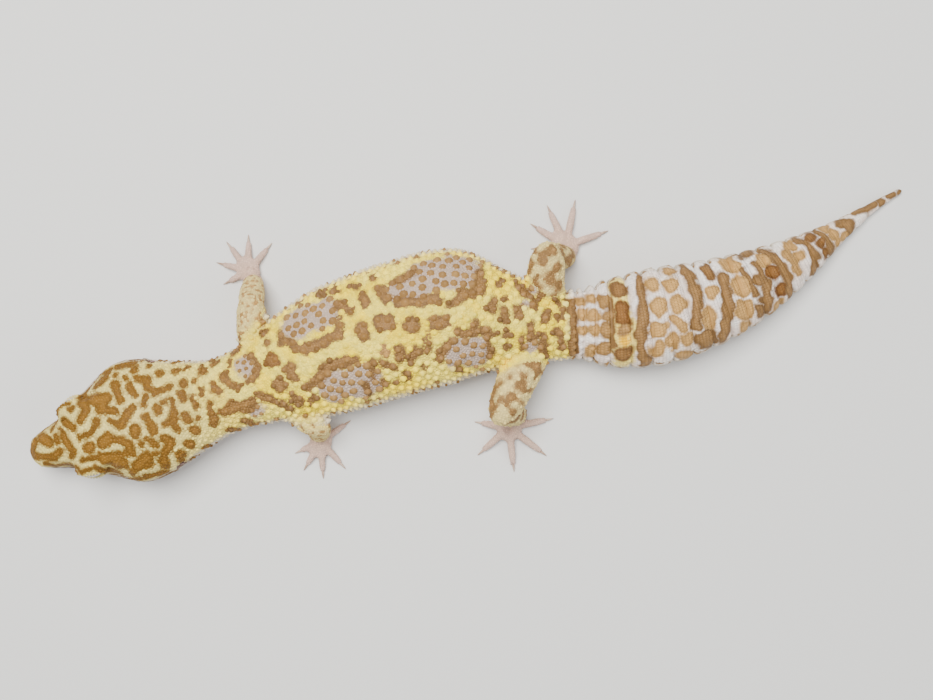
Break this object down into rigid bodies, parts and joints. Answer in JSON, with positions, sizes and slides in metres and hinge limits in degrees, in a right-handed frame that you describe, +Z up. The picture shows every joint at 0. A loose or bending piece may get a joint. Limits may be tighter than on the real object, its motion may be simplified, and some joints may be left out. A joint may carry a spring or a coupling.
{
  "type": "leopard gecko",
  "caption": "Still, life-size leopard gecko lying on its belly with its legs out, a broad head, a bumpy spotted back and a fat ringed tail.",
  "frame": {"origin": "on the floor under the middle of the whole animal's box", "axes": "-X towards the snout, +X towards the tail tip, +Y towards the animal's right side, +Z up from the floor"},
  "size_m": [0.212, 0.0706, 0.021],
  "materials": {
    "head_skin": "tan-brown net on cream, fine dry scales",
    "pale_skin": "pale pinkish cream, smooth fine scales",
    "trunk_skin": "yellow with brown spots and lavender patches, raised tubercles",
    "tail_skin": "lavender white with tan bands, ringed",
    "leg_skin": "pale yellow with brown mottling, fine scales",
    "eye": "wet and glossy, silvery pink iris with an upright slit pupil",
    "claw": "pale horn, slightly glossy",
    "eardrum": "thin dark skin at the bottom of the ear opening"
  },
  "bodies": {
    "root": {"belly": "trunk_skin", "chest": "trunk_skin", "claw_foot_left_1": "claw", "claw_foot_left_2": "claw", "claw_foot_left_3": "claw", "claw_foot_left_4": "claw", "claw_foot_left_5": "claw", "claw_foot_right_1": "claw", "claw_foot_right_2": "claw", "claw_foot_right_3": "claw", "claw_foot_right_4": "claw", "claw_foot_right_5": "claw", "claw_hand_left_1": "claw", "claw_hand_left_2": "claw", "claw_hand_left_3": "claw", "claw_hand_left_4": "claw", "claw_hand_left_5": "claw", "claw_hand_right_1": "claw", "claw_hand_right_2": "claw", "claw_hand_right_3": "claw", "claw_hand_right_4": "claw", "claw_hand_right_5": "claw", "eardrum_left": "eardrum", "eardrum_right": "eardrum", "eye_left": "eye", "eye_right": "eye", "foot_left": "pale_skin", "foot_right": "pale_skin", "forearm_left": "leg_skin", "forearm_right": "leg_skin", "hand_left": "pale_skin", "hand_right": "pale_skin", "head": "head_skin", "hips": "trunk_skin", "lower_jaw": "pale_skin", "neck": "head_skin", "shank_left": "leg_skin", "shank_right": "leg_skin", "tail_base": "tail_skin", "tail_fat": "tail_skin", "tail_taper": "tail_skin", "tail_tip": "tail_skin", "thigh_left": "leg_skin", "thigh_right": "leg_skin", "upper_arm_left": "leg_skin", "upper_arm_right": "leg_skin"}
  },
  "joints": []
}
